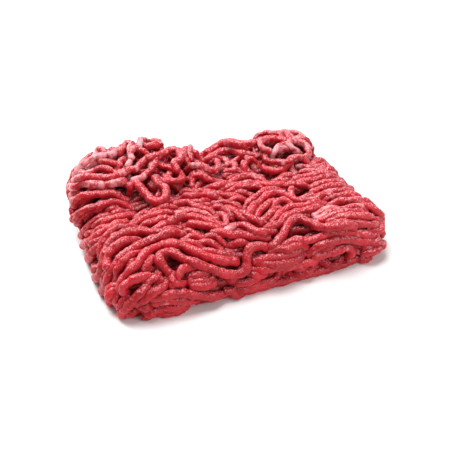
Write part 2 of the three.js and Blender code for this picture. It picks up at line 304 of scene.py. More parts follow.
# Strands that stand out: half their thickness, how fat and pale they are, and their way over the unrolled
# block, as it looks from the camera. The lower ones come first.
lowerStrands = [
    (2.0, 0.1, [(-70, -46), (-65, -45), (-60, -42), (-57, -39)]),
    (2.0, 0.3, [(-70, -31), (-64, -29.5), (-58, -29.5), (-53, -30.5)]),
    (2.1, 0.2, [(-70, 7), (-64, 5.5), (-58, 4.5), (-52, 3)]),
    (2.1, 0.1, [(-68, 3), (-62, 2), (-57, 1), (-52, -0.5)]),
    (2.1, 0.3, [(-65, -1.5), (-60, -2), (-55, -3), (-50, -4)]),
    (2.0, 0.2, [(-15, -46.5), (-10, -48.5), (-5, -50.5), (0, -51.5)]),
    (2.1, 0.2, [(-25, -37), (-20, -39), (-16.5, -42.5), (-14, -47)]),
    (2.1, 0.1, [(-20, -68), (-15, -69), (-12.5, -71), (-14, -73.5)]),
    (2.1, 0.1, [(-73, -68), (-67, -69), (-62, -71), (-58, -75)]),
    (2.1, 0.1, [(-86, -66), (-80, -67.5), (-75, -69), (-71, -71)]),
    (2.2, 0.1, [(-60, -76), (-54, -78), (-48, -79), (-42, -79.5), (-38, -79)]),
    (2.1, 0.1, [(-18, -75), (-12, -75.5), (-6, -74.5), (0, -75.5), (7, -76), (13, -76)]),
    (2.1, 0.1, [(14, -71), (20, -72), (26, -73), (30, -72.5)]),
    (2.1, 0.1, [(17, -76), (24, -76.5), (30, -78), (38, -78.5), (46, -78)]),
    (2.0, 0.1, [(33, -74), (38, -76), (44, -76.5), (49, -75)]),
    (2.1, 0.1, [(55, -68.5), (60, -69), (66, -69), (72, -68), (80, -64), (88, -57)]),
    (2.1, 0.1, [(53, -72.5), (60, -72.5), (67, -72), (75, -70), (83, -64), (90, -56)]),
    (2.1, 0.1, [(52, -77), (60, -77.5), (68, -76.5), (77, -73)]),
]
mainStrands = [
    # the smooth patch above the front edge
    (2.3, 0.3, [(-39, -60), (-33, -60.5), (-27, -62)]),
    (2.3, 0.3, [(-39, -62.5), (-32, -63.5), (-25, -64.5)]),
    (2.3, 0.3, [(-38, -65.5), (-32, -66.5), (-25, -67)]),
    # top left and the left side
    (2.1, 0.2, [(-60, -17.5), (-55, -16.5), (-50, -14), (-45, -12.5), (-39, -12), (-33, -12), (-27, -12)]),
    (2.1, 0.2, [(-54, -20), (-50, -18), (-46, -16), (-41, -15.5), (-36, -16), (-30, -17)]),
    (2.1, 0.3, [(-48, -22), (-44, -20.5), (-39, -20), (-34, -21), (-29, -22)]),
    (2.1, 0.2, [(-47, -26), (-42, -25), (-36, -25), (-30, -26)]),
    (2.1, 0.2, [(-72, -6), (-65, -6.5), (-58, -7), (-52, -7), (-48, -7)]),
    (2.5, 0.1, [(-95, 12), (-90, 5.5), (-85, 0), (-81, -5), (-77, -9), (-73, -12), (-68, -13), (-63, -13),
                (-58, -12), (-54, -10.5)]),
    (2.6, 0.3, [(-98, 3), (-93, -3), (-88, -9), (-84, -13), (-79, -16), (-74, -17.5), (-69, -18.5)]),
    (2.6, 0.1, [(-97, -14), (-92, -21), (-87, -27), (-82, -31), (-77, -30.5), (-73, -27.5), (-70, -24.5),
                (-66, -22.5), (-62, -21.5), (-57, -21.5), (-52, -23), (-48, -25.5),
                (-44, -28), (-40, -30), (-36, -30.5)]),
    (2.6, 0.3, [(-99, -26), (-92, -33), (-86, -38), (-81, -40.5), (-77, -41), (-74, -40), (-70, -39.5),
                (-66, -38), (-63, -37.5), (-60, -36), (-55, -34.5), (-50, -34), (-45, -33.5),
                (-40, -32.5), (-35, -32), (-30, -32)]),
    (2.4, 0.3, [(-97, -38), (-92, -42), (-87, -45), (-82, -46), (-78, -47), (-75, -50)]),
    (2.7, 0.0, [(-76, -35), (-71, -32), (-65, -29), (-59, -27.5), (-53, -28.5)]),
    (2.2, 0.1, [(-78, -54), (-75, -52), (-72, -50.5), (-68, -49.5), (-64, -48.5), (-60, -46.5), (-57, -43.5),
                (-53, -40.5), (-48, -38.5), (-43, -38), (-38, -38), (-33, -39)]),
    (2.0, 0.3, [(-60, -51), (-57, -49), (-53.5, -48)]),
    # middle of the top
    (2.1, 0.1, [(-40, -2.5), (-33, -2.5), (-26, -4), (-21, -3)]),
    (2.1, 0.1, [(-42, -7), (-36, -7), (-30, -7.5), (-24, -7.5)]),
    (2.0, 0.6, [(-22, -4.5), (-19, -7.5), (-15.5, -10), (-12, -12), (-8, -13.5)]),
    (2.1, 0.1, [(-14, -7), (-10, -8), (-6, -10)]),
    (2.0, 0.5, [(-8, -4), (-5.5, -6.5), (-3.5, -9)]),
    (2.1, 0.3, [(-2, -2), (4, -1.5), (10, -2), (16, -3.5), (22, -6)]),
    (2.1, 0.0, [(3, -7), (8, -7.5), (12, -10), (16, -13)]),
    (2.1, 0.3, [(5, 3), (12, 4), (18, 4), (22, 2), (25.5, -3), (28, -8)]),
    (2.0, 0.4, [(-22, -10), (-18, -12.5), (-15, -15.5), (-13, -19)]),
    (2.0, 0.6, [(-30, -13), (-25, -14.5), (-21, -17), (-17.5, -20.5), (-14, -24), (-11.5, -27.5)]),
    (2.4, 0.0, [(-36, -18.5), (-31, -18.5), (-26, -20), (-22, -22.5), (-18.5, -26), (-15.5, -29), (-12, -32),
                (-9.5, -34.5)]),
    (2.2, 0.0, [(-8, -16.5), (-5, -17.5), (-3, -20), (-1.5, -24), (-0.5, -28), (1, -32), (3, -36), (5, -39.5),
                (8, -42)]),
    (2.0, 0.5, [(-9.5, -19.5), (-8, -22), (-7.5, -26), (-8, -30), (-9.5, -33.5), (-10.5, -35.5)]),
    (2.1, 0.3, [(5, -33.5), (9, -31.5), (13, -29), (17, -26), (21, -22.5), (25, -20.5)]),
    (2.1, 0.3, [(8, -35), (12, -35.5), (17, -33), (21, -30), (25, -28)]),
    (2.0, 0.4, [(2.5, -24), (2.5, -27), (4, -31), (5, -34.5), (7, -37.5), (10, -38.5), (14, -38)]),
    (2.3, 0.0, [(-18, -35), (-14.5, -39), (-11, -42.5), (-6, -45), (-1, -47.5), (4, -49.5), (9, -50.5)]),
    (2.0, 0.5, [(-11, -37), (-6, -39), (-2, -41.5), (1, -44.5), (5, -47), (10, -47.8), (14, -47.5)]),
    (2.1, 0.2, [(-24, -50.5), (-20, -52), (-16, -54), (-12, -56)]),
    (2.1, 0.2, [(-30, -40.5), (-26, -41.5), (-22, -44.5), (-19, -47.5), (-17, -50)]),
    (2.5, 0.0, [(-45, -38.5), (-41, -39.5), (-37, -42), (-33.5, -46), (-30, -50), (-25, -54), (-20, -56.5),
                (-15, -58), (-11, -59.5)]),
    # right end of the top
    (2.1, 0.2, [(38, -9), (45, -8.5), (52, -8.5), (58, -9), (66, -9), (74, -8)]),
    (2.1, 0.1, [(36, -12), (42, -12), (48, -13), (55, -13), (62, -13.5), (70, -13.5)]),
    (2.1, 0.2, [(47, -17), (52, -17), (58, -18), (66, -18.5), (75, -18)]),
    (2.1, 0.1, [(45, -21), (50, -22), (56, -22.5), (63, -22.5), (72, -23)]),
    (2.1, 0.3, [(47, -26.5), (53, -27.5), (60, -28.5), (68, -29), (76, -28)]),
    (2.1, 0.2, [(44, -33), (50, -32), (56, -33), (63, -34), (71, -35)]),
    (2.1, 0.1, [(46, -37), (52, -37), (58, -38), (65, -40), (72, -42)]),
    (2.1, 0.6, [(36, -42), (42, -42), (48, -41.5), (55, -42.5)]),
    (2.1, 0.5, [(36, -44.5), (42, -44.5), (48, -44.5), (55, -44.5), (62, -45.5), (69, -46)]),
    (2.1, 0.2, [(34, -47.5), (40, -47.5), (46, -47.5), (52, -47.5), (58, -48), (65, -48.5)]),
    (2.1, 0.2, [(40, -50), (46, -50.5), (52, -50.5), (58, -51.5), (65, -51.5), (73, -49.5)]),
    (2.1, 0.1, [(35, -52), (41, -52.5), (47, -53.5), (53, -54.5), (60, -56), (68, -56), (76, -52.5)]),
    (2.1, 0.3, [(42, -3), (48, -3.5), (54, -5), (60, -5.5), (66, -4)]),
    (2.1, 0.2, [(35, -26), (40, -26.5), (45, -27), (50, -27.5)]),
    (2.1, 0.3, [(42, -16), (38, -15), (35.5, -17), (34, -21), (33, -25)]),
    # front
    (2.2, 0.2, [(9, -58), (13, -57), (20, -56), (25, -57.5), (30, -58), (35, -57), (41, -57), (46, -57.5),
                (51, -58.5), (57, -60.5), (62, -62), (68, -62.5), (76, -60)]),
    (2.1, 0.2, [(-5, -61), (0, -61), (5, -61.5), (10, -62), (15, -62.5), (20, -61.5), (26, -60)]),
    (2.1, 0.3, [(-6, -65), (-1, -66), (4, -66.5), (9, -67), (14, -68.5), (20, -69), (27, -69.5), (34, -69)]),
    (2.0, 0.1, [(30, -64.5), (35, -63.5), (40, -63), (45, -64.5)]),
    (2.2, 0.2, [(25, -66.5), (28, -64), (31, -61.5), (35, -60.5), (41, -61), (47, -61), (51, -62),
                (56, -64.5), (62, -66), (70, -66), (78, -62)]),
    (2.2, 0.1, [(28, -66.5), (33, -66.8), (38, -66.5), (43, -66), (47, -65.8), (50.5, -67.5), (51.5, -70.5),
                (51, -73.5), (50, -76)]),
    (2.1, 0.2, [(-9, -66.5), (-6, -67), (-3, -68.5), (0, -70), (2.5, -72)]),
    (1.8, 0.3, [(9.5, -71.5), (10.5, -74), (12.5, -74.5), (13.5, -72)]),
    # front left corner
    (2.1, 0.1, [(-57, -73.5), (-52, -74.5), (-47, -76), (-42, -77), (-38.5, -79)]),
    (2.1, 0.4, [(-58, -71.5), (-55, -69.5), (-50, -69.5), (-45, -71), (-41, -72.5), (-37, -75),
                (-34, -77.5)]),
    (2.4, 0.1, [(-60, -66.5), (-55, -66), (-50, -66), (-45, -66.5), (-40, -68.5), (-35, -71), (-30, -73.5),
                (-25, -75.5), (-20, -76.5)]),
    (2.3, 0.1, [(-73, -59.5), (-74, -56), (-72, -53.7), (-68, -53.5), (-64, -53.5), (-59, -54), (-55, -54)]),
    (2.5, 0.3, [(-91, -62), (-85, -63), (-80, -63.5), (-75, -63), (-70, -63), (-65, -62), (-60, -60),
                (-57, -58.5)]),
    (2.1, 0.1, [(-46.5, -58), (-46, -61), (-46.5, -65)]),
    (2.3, 0.1, [(-55, -63), (-53, -59), (-50, -57)]),
    (2.1, 0.1, [(-44.5, -64), (-44.5, -60), (-43, -57), (-40, -55.5), (-36, -56), (-33, -57.5)]),
]
topStrands = [
    (2.2, 0.2, [(4, -31.5), (9, -27.5), (13, -24.5), (17, -20.5), (21, -17.5), (25.5, -16.5), (29.5, -19.5),
                (32, -24), (34.5, -28.5), (38, -31), (43, -31.5), (47, -29.5), (51, -27.5), (56, -27.5)]),
    (2.3, 0.0, [(5, -57.5), (10, -55), (14, -51.5), (18, -47.5), (22, -44), (25.5, -42.5), (29, -43.5),
                (31, -47), (33, -50.5), (37, -52.5), (43, -53.5), (49, -54), (55, -55.5)]),
    (2.4, 0.1, [(-46.5, -57), (-48, -54), (-49.5, -51), (-50.3, -48), (-49.5, -45.5), (-46.5, -43.5),
                (-42.5, -44.5), (-40, -48), (-38, -51), (-35, -53.5), (-31, -56.5), (-27, -59), (-24, -61.5),
                (-20, -63.5), (-16, -65), (-12, -65.5), (-9.5, -64.5), (-7.5, -62), (-7, -59), (-6.5, -56.5),
                (-5, -54), (-2, -53), (2, -53.5), (6, -55)]),
]
pileStrands = [
    # the left end of the back left pile
    (2.0, 0.2, [(-84, 12), (-79, 10.5), (-74, 8.5), (-69, 7), (-64, 5)]),
    (2.0, 0.2, [(-84, 17), (-79, 15), (-74, 13), (-69, 11), (-64, 10)]),
    (2.0, 0.3, [(-84, 22), (-80, 20), (-75, 17)]),
    (2.1, 0.1, [(-80, 28), (-76, 25), (-72.5, 22.5), (-68, 20.5), (-63.5, 19), (-59.5, 16.5),
                (-54.5, 15), (-51.5, 14)]),
    (2.1, 0.1, [(-75.5, 19), (-70.5, 17.5), (-66.5, 15.5), (-62, 14), (-57, 12), (-52.5, 9.5), (-49, 6.5)]),
    (1.9, 0.1, [(-66, 7.5), (-61.5, 7.5), (-57, 7), (-52.5, 4), (-48, 0.5)]),
    (2.0, 0.7, [(-69, 46), (-66.5, 42), (-64, 38.5), (-63, 35), (-60, 34), (-56.5, 33), (-52, 31.5),
                (-49.5, 29), (-47, 26)]),
    (1.8, 0.7, [(-62, 41), (-58.5, 39), (-55.5, 36), (-51, 35), (-47, 33.5), (-44, 31)]),
    (1.8, 0.8, [(-58, 44), (-55, 46.5), (-51, 47.5), (-47, 47), (-44.5, 45)]),
    (1.8, 0.6, [(-48, 46), (-44.5, 46), (-41, 44.5), (-37, 43), (-35.5, 40)]),
    (1.8, 0.3, [(-42, 46), (-38, 48), (-33, 48), (-29, 44)]),
    (1.7, 0.8, [(-42.5, 30.5), (-39, 33), (-39, 38), (-35, 41)]),
    (1.8, 0.5, [(-38, 33), (-38, 37), (-34.5, 39.5), (-30, 39.5), (-28, 35.5), (-28, 31.5)]),
    (2.0, 0.9, [(-66, 45), (-60, 46), (-55, 44.5), (-50, 44), (-46, 42)]),
    (1.8, 0.85, [(-76.5, 44), (-73.5, 40), (-70.5, 36.5), (-68, 34)]),
    (1.9, 0.85, [(-79, 38), (-75.5, 34), (-72, 31), (-69, 29)]),
    (1.9, 0.85, [(-81, 32), (-77.5, 28.5), (-74, 26), (-71, 24.5)]),
    # behind the middle
    (1.8, 0.2, [(-9, 29), (-7.5, 34.5), (-3, 41.5), (0, 42), (-3.5, 34), (-5.5, 28.5)]),
    (1.8, 0.3, [(-0.5, 41.5), (1.5, 38.5), (-0.5, 32), (0.5, 28)]),
    (1.7, 0.5, [(14.5, 30), (15.5, 28), (15.5, 23.5), (14, 19.5)]),
    (1.7, 0.4, [(17.5, 23), (17, 18), (15.5, 13.5), (12.5, 13.5), (9.5, 15.5)]),
    (1.9, 0.1, [(-13, 20.5), (-8, 21.5), (-5.5, 19), (-8, 16), (-12.5, 13.5), (-15, 15.5)]),
    (2.3, 0.1, [(-5.5, 16.5), (-4, 11.5), (-2, 6.5), (2, 5), (4.5, 7)]),
    (1.9, 0.5, [(-7, 24), (-4, 20), (-2, 16.5), (1, 14), (4.5, 14), (7.5, 19), (9, 24.5),
                (7.5, 28), (4.5, 27.5)]),
    (1.8, 0.3, [(-12.5, 6), (-11.5, 9.5), (-9.5, 11), (-7.5, 9.5), (-6.5, 6)]),
    (1.8, 0.1, [(20, 10), (22, 14), (24.5, 18), (27, 19.5), (29, 17.5), (29.8, 14), (29.5, 11)]),
    # the loops at the right of the back left pile
    (1.8, 0.2, [(-24, 21), (-23.5, 16), (-22.5, 12.5), (-20, 12)]),
    (2.0, 0.1, [(-28.5, 21.5), (-27, 14), (-25.5, 9), (-20.5, 9), (-16.5, 12), (-15.5, 18.5), (-18.5, 23),
                (-21.5, 25.5), (-24.5, 27.5)]),
    (2.2, 0.5, [(-29, 28.5), (-22.5, 33), (-16.5, 36), (-12, 35.5), (-10, 32.5), (-10.5, 28), (-13.5, 25),
                (-16, 25.5), (-17, 22.5), (-15, 20)]),
    (2.3, 0.8, [(-73.5, 38.5), (-69, 30.5), (-65.5, 28), (-60.5, 24), (-56.5, 20.5), (-51.5, 19.5),
                (-46.5, 17.5)]),
    (2.1, 0.6, [(-71, 41), (-66.5, 35), (-63.5, 31), (-59.5, 28), (-55.5, 24.5), (-50, 23.5), (-44.5, 24.5),
                (-38.5, 26), (-32, 29), (-27, 32), (-22, 34.5)]),
    (2.4, 0.1, [(-45.5, 17), (-43, 13.5), (-40.5, 7.5), (-37.5, 0.5), (-34, -2), (-32, -1.5), (-29, 1),
                (-28.5, 7.5), (-29.5, 12), (-29, 18.5)]),
    (1.8, 0.75, [(-43, 20.5), (-39, 20), (-35.5, 19), (-32.5, 21.5), (-30, 24), (-27, 24.5)]),
    (1.9, 0.7, [(-31, 46), (-28, 50), (-23, 51), (-19, 50), (-17, 46)]),
    # the smooth arch between the piles
    (2.4, 0.0, [(6, 32), (12.5, 33.5), (18.5, 33), (23, 29.5), (27, 24.5)]),
    (3.0, 0.0, [(7, 38), (10, 41), (14, 42), (19.5, 42), (25, 40), (29, 34), (31, 27)]),
    # the right pile
    (2.4, 0.2, [(30, 28), (33, 32), (38, 34), (43, 32), (47, 28), (52, 24)]),
    (1.9, 0.3, [(49, 5.5), (52, 3), (54, 0), (58, -1), (62, 1)]),
    (1.8, 0.4, [(39, 14.5), (43, 13.5), (48, 12.5), (53, 12.5), (58, 13.5)]),
    (1.8, 0.7, [(40, 19), (44, 17), (48, 15.5), (53, 15), (57, 16.5)]),
    (1.8, 0.3, [(37.5, 17), (34.5, 15), (34, 11), (37, 8), (42, 6.5), (47, 7), (52, 9), (56, 11)]),
    (1.8, 0.5, [(40, 27.5), (37, 27.5), (35.5, 24), (37, 20.5), (41, 19.5)]),
]


def wayToCamera():
    a, e = math.radians(view["azimuth"]), math.radians(view["elevation"])
    return np.array([math.sin(a) * math.cos(e), -math.cos(a) * math.cos(e), math.sin(e)])


towardsCamera = np.round(wayToCamera(), 3)
seeing = {
    "grazing": 0.35,  # least share of the surface's normal that looks at the camera
    "lowest": -1.0,  # lift over the bed
    "highest": 4.0,
    "liftEvened": 12,
    "pathEvened": 4,
    "rounds": 4,
}


# A strand that lies higher is seen further back: this is where it lies, from where it is seen.
def seenThere(path, lift):
    distance, outU, outV = overEdge(path[:, 0], path[:, 1])[2:]
    angle = np.minimum(distance / rollRadius, math.pi / 2)
    normal = np.stack([outU * np.sin(angle), outV * np.sin(angle), np.cos(angle)], -1)
    along = np.stack([outU * np.cos(angle), outV * np.cos(angle), -np.sin(angle)], -1)
    across = np.stack([-outV, outU, 0 * outU], -1)
    flat = np.hypot(outU, outV) < 0.5  # the flat top has no outward direction
    along[flat], across[flat] = (1, 0, 0), (0, 1, 0)
    outU, outV = np.where(flat, 1, outU), np.where(flat, 0, outV)
    slide = lift / np.maximum(normal @ towardsCamera, seeing["grazing"])
    out, side = slide * (along @ towardsCamera), slide * (across @ towardsCamera)
    return path + np.stack([out * outU - side * outV, out * outV + side * outU], -1)


def asSeen(layer, route, radius):
    seen = evenPath(route)
    path = seen
    for _ in range(seeing["rounds"]):
        lift = restingHeight(layer.heights, path, radius) - slowRise(path[:, 0], path[:, 1]) - middleRadius
        lift = np.clip(lift, seeing["lowest"], seeing["highest"])
        path = seenThere(seen, smoothed(lift, seeing["liftEvened"]))
    return smoothed(path, seeing["pathEvened"])


# The way the rest of the strands run: beside the ones that stand out, and by a rule where there are none.
# By the rule they climb the left side, fall off over the left half of the top and run level elsewhere.
running = {
    "climb": 20,  # degrees
    "climbInFront": 22,  # added to the front
    "fall": 8,
    "fallInFront": 14,
    "sideToTop": (-74, -58),  # where one of these regions passes into the next
    "leftToRight": (-30, 25),
    "frontToBack": (-30, 5),
    "faceToTop": (-68, -52),
    "spacing": 4.0,  # of the places where a route gives its direction
    "soft": 12.0,  # square of the distance from which a route's pull grows no more
    "ruleRange": 120.0,
    "ruleWeight": 3,
}


def ruleGrain(u, v):
    onSide = 1 - smoothstep(u, *running["sideToTop"])
    onLeft = 1 - smoothstep(u, *running["leftToRight"])
    front = 1 - smoothstep(v, *running["frontToBack"])
    onTop = smoothstep(v, *running["faceToTop"])
    climb = running["climb"] + running["climbInFront"] * front
    fall = running["fall"] + running["fallInFront"] * front
    return np.radians(onSide * climb - (1 - onSide) * onLeft * onTop * fall)


# A strand has no front end, so directions are kept as doubled angles.
def grainOfRoutes():
    places, doubled = [], []
    for radius, fat, route in mainStrands + topStrands:
        path = evenPath(route, running["spacing"])
        step = np.diff(path, axis=0)
        angle = 2 * np.arctan2(step[:, 1], step[:, 0])
        places.append((path[1:] + path[:-1]) / 2)
        doubled.append(np.stack([np.cos(angle), np.sin(angle)], -1))
    return np.vstack(places), np.vstack(doubled)


routePlaces, routeDirections = grainOfRoutes()


def grain(u, v):
    rule = 2 * float(ruleGrain(u, v))
    far = (routePlaces[:, 0] - u) ** 2 + (routePlaces[:, 1] - v) ** 2
    weight = 1 / (far + running["soft"]) ** 2
    pull = running["ruleWeight"] / running["ruleRange"] ** 2
    x = (routeDirections[:, 0] * weight).sum() + pull * math.cos(rule)
    y = (routeDirections[:, 1] * weight).sum() + pull * math.sin(rule)
    return math.atan2(y, x) / 2


filling = {
    "draws": 60,  # places looked at for each strand, the lowest is taken
    "shortest": 14.0,
    "longest": 150.0,
    "stride": 2.0,
    "lean": 0.3,  # radians that a step may turn to the lower side
    "leanCost": 0.12,  # how much lower that side has to be
    "wander": 0.1,  # radians that the way may change by from step to step
    "mostWander": 0.3,
    "sharpest": 0.35,  # turn of a step, in radians
    "misses": 60,  # after so many places without room it stops
    "give": 1.2,
    "dive": (0.5, 1.2),
}


# One end of a strand that follows the grain and leans to the lower side as it goes.
def feelWay(layer, start, heading, length, radius, crowding):
    path = []
    u, v = start
    wander = 0.0
    stride, mostWander = filling["stride"], filling["mostWander"]
    leanCost = np.array([1, 0, 1]) * filling["leanCost"]
    for _ in range(int(length / stride)):
        wander += draws.uniform(-filling["wander"], filling["wander"])
        wander = max(-mostWander, min(mostWander, wander))
        turn = grain(u, v) - heading
        turn = math.atan2(math.sin(2 * turn), math.cos(2 * turn)) / 2
        heading += max(-filling["sharpest"], min(filling["sharpest"], turn))
        angles = heading + wander + np.array([-1, 0, 1]) * filling["lean"]
        ways = np.stack([u + stride * np.cos(angles), v + stride * np.sin(angles)], -1)
        cost = restingHeight(layer.heights, ways, radius) + leanCost
        u, v = ways[int(cost.argmin())]
        if not onBlock(u, v, radius) or layer.isClosed(u, v):
            break
        if ridesUp(layer, np.array([[u, v]]), radius)[0] > crowding * strand["diameter"]:
            break
        path.append((u, v))
    return path


# Where a strand would ride up least, of a few places drawn at random.
def lowestPlace(layer, radius):
    spots = draws.uniform(-reach, reach, (filling["draws"], 2))
    spots = spots[onBlock(spots[:, 0], spots[:, 1], radius)]
    row, col = np.rint(spots[:, 1]).astype(int) + reach, np.rint(spots[:, 0]).astype(int) + reach
    spots = spots[~layer.closed[row, col]]
    if not len(spots):
        return None, None
    cover = ridesUp(layer, spots, radius)
    best = int(cover.argmin())
    return spots[best], cover[best]


# Crowding is how far a strand may ride up on others, in diameters.
def fillGaps(layer, kind, attempts, crowding, radii):
    misses = 0
    for _ in range(attempts):
        radius = draws.uniform(*radii)
        spot, cover = lowestPlace(layer, radius)
        if spot is None or cover > crowding * strand["diameter"]:
            misses += 1
            if misses > filling["misses"]:
                break
            continue
        half = draws.uniform(filling["shortest"], filling["longest"]) / 2
        heading = grain(*spot)
        back = feelWay(layer, spot, heading + math.pi, half, radius, crowding)[::-1]
        path = back + [tuple(spot)] + feelWay(layer, spot, heading, half, radius, crowding)
        if len(path) * filling["stride"] >= filling["shortest"]:
            dive = draws.uniform(*filling["dive"], 2)
            layDown(layer, evenPath(path), kind, radius, filling["give"], 0.0, dive)
            continue
        row, col, distance = cells(spot[None])
        near = distance[0] <= radius
        layer.closed[row[0][near], col[0][near]] = True


# Curls: strands that fell in loops, so their way keeps turning.
curling = {
    "areas": [
        {"u": -38.0, "v": 26.0, "halfLength": 40.0, "halfDepth": 26.0, "strands": 20},
        {"u": 44.0, "v": 19.0, "halfLength": 26.0, "halfDepth": 20.0, "strands": 34},
    ],
    "tightest": 4.6,  # radius of a turn
    "widest": 11.0,
    "turnLength": (9, 24),
    "shortest": 18.0,
    "longest": 46.0,
    "crowding": 0.9,
    "tries": 30,  # for each strand
    "spread": 0.5,  # of the places where they start, as a share of the area
    "edge": 1.3,  # square of how far out of the area they may go
    "radii": (1.85, 2.2),
    "give": 0.6,
    "dive": (0.2, 1.0),
    "fat": (0.0, 0.6),
    "fatAtEnds": (0.2, 0.6),
    "endsFrom": 45,
}


def curlPath(u, v, length):
    heading = draws.uniform(0, 2 * math.pi)
    path = [(u, v)]
    left = 0.0
    bend = 0.0
    for _ in range(int(length / strand["spacing"])):
        if left <= 0:
            left = draws.uniform(*curling["turnLength"])
            bend = draws.choice([-1, 1]) / draws.uniform(curling["tightest"], curling["widest"])
        heading += bend * strand["spacing"]
        left -= strand["spacing"]
        u += strand["spacing"] * math.cos(heading)
        v += strand["spacing"] * math.sin(heading)
        if not onBlock(u, v):
            break
        path.append((u, v))
    return np.array(path)


def layCurls(layer, area):
    done = 0
    for _ in range(area["strands"] * curling["tries"]):
        a, b = draws.normal(0, curling["spread"], 2)
        length = draws.uniform(curling["shortest"], curling["longest"])
        path = curlPath(area["u"] + a * area["halfLength"], area["v"] + b * area["halfDepth"], length)
        if len(path) < curling["shortest"]:
            continue
        inArea = ((path[:, 0] - area["u"]) / area["halfLength"]) ** 2
        inArea = inArea + ((path[:, 1] - area["v"]) / area["halfDepth"]) ** 2
        if inArea.max() > curling["edge"]:
            continue
        if ridesUp(layer, path, middleRadius).max() > curling["crowding"] * strand["diameter"]:
            continue
        atEnd = abs(path[:, 0].mean()) > curling["endsFrom"]
        fat = draws.uniform(*curling["fatAtEnds" if atEnd else "fat"])
        radius = draws.uniform(*curling["radii"])
        layDown(layer, path, "curl", radius, curling["give"], fat, draws.uniform(*curling["dive"], 2))
        done += 1
        if done >= area["strands"]:
            break
    print("curls laid", done)


# Strands pressed flat on the floor under the block.
underside = {
    "spacing": 3.9,
    "height": 1.7,
    "radius": 2.2,
    "inset": 3.0,
    "shortest": 25.0,
    "longest": 90.0,
    "step": 2.0,
    "overlap": 1.0,  # of a strand with the next in its row
    "fewestPoints": 6,
    "sway": 3.0,
    "swayWave": 19.0,
    "rowWave": 23.0,
    "wobble": 0.5,
    "wobbleWave": 5.0,
}


def layUnderside():
    lines = []
    reachX, reachY = block["length"] / 2, block["depth"] / 2
    for y0 in np.arange(-reachY, reachY, underside["spacing"]):
        x = -reachX
        while x < reachX:
            length = draws.uniform(underside["shortest"], underside["longest"])
            at = np.arange(x, min(x + length, reachX), underside["step"])
            x += length - underside["overlap"]
            y = y0 + underside["sway"] * np.sin(at / underside["swayWave"] + y0 / underside["rowWave"])
            y = y + underside["wobble"] * np.sin(at / underside["wobbleWave"] + y0)
            edge = overEdge(at, y)[2] + underside["inset"] < block["edgeRadius"]
            if edge.sum() < underside["fewestPoints"]:
                continue
            at, y = at[edge], y[edge]
            points = np.stack([at, y, np.full(len(at), underside["height"])], -1)
            lines.append({"path": points[:, :2], "points": points, "radius": underside["radius"],
                          "kind": "underside", "fat": 0.0})
    return lines


# How the block is laid: the strands that stand out give way sideways and dive at their ends by so much,
# and the rounds that fill the gaps make so many attempts.
laying = {
    "underSunk": 4.2,
    "lower": {"give": 0.0, "dive": (1.0, 1.0)},
    "main": {"give": 0.4, "dive": (0.6, 0.6)},
    "pile": {"give": 0.4, "dive": (0.4, 0.4)},
    "underFilling": {"attempts": 260, "crowding": 0.5, "radii": (1.9, 2.25)},
    "topFilling": {"attempts": 900, "crowding": 0.3, "radii": (1.95, 2.3)},
    "lastFilling": {"attempts": 200, "crowding": 0.5, "radii": (1.85, 2.15)},
}


def layRoutes(layer, routes, kind, give, dive):
    for radius, fat, route in routes:
        layDown(layer, asSeen(layer, route, radius), kind, radius, give, fat, dive)


def layBlock():
    under = Layer(sunk=laying["underSunk"])
    fillGaps(under, "under", **laying["underFilling"])
    print("under strands laid", len(under.laid))
    top = Layer(hollow=insideHollows())
    layRoutes(top, lowerStrands, "standing", **laying["lower"])
    layRoutes(top, mainStrands + topStrands, "standing", **laying["main"])
    for area in curling["areas"]:
        layCurls(top, area)
    layRoutes(top, pileStrands, "curl", **laying["pile"])
    fillGaps(top, "field", **laying["topFilling"])
    top.closed = insideHollows()
    fillGaps(top, "field", **laying["lastFilling"])
    print("top strands laid", len(top.laid))
    return under.laid + top.laid + layUnderside()


# Geometry Nodes: round strands swept along centre lines, uneven and grainy. Lengths are in metres.
sweeping = {
    "Sides": 18,
    "Ring spacing": 0.0005,
    "Lump size": 0.0050,
    "Lump depth": 0.0007,
    "Grain size": 0.0017,
    "Grain depth": 0.00058,
    "Seed": 7.0,
}
coarseSweep = {"Sides": 10, "Ring spacing": 0.0012}  # for strands that are hardly seen


def setInput(tree, modifier, name, value):
    for item in tree.interface.items_tree:
        if item.item_type == "SOCKET" and item.in_out == "INPUT" and item.name == name:
            modifier[item.identifier] = value


def nodeMaker(tree):
    def make(kind, **settings):
        node = tree.nodes.new(kind)
        for key, value in settings.items():
            setattr(node, key, value)
        return node
    return make


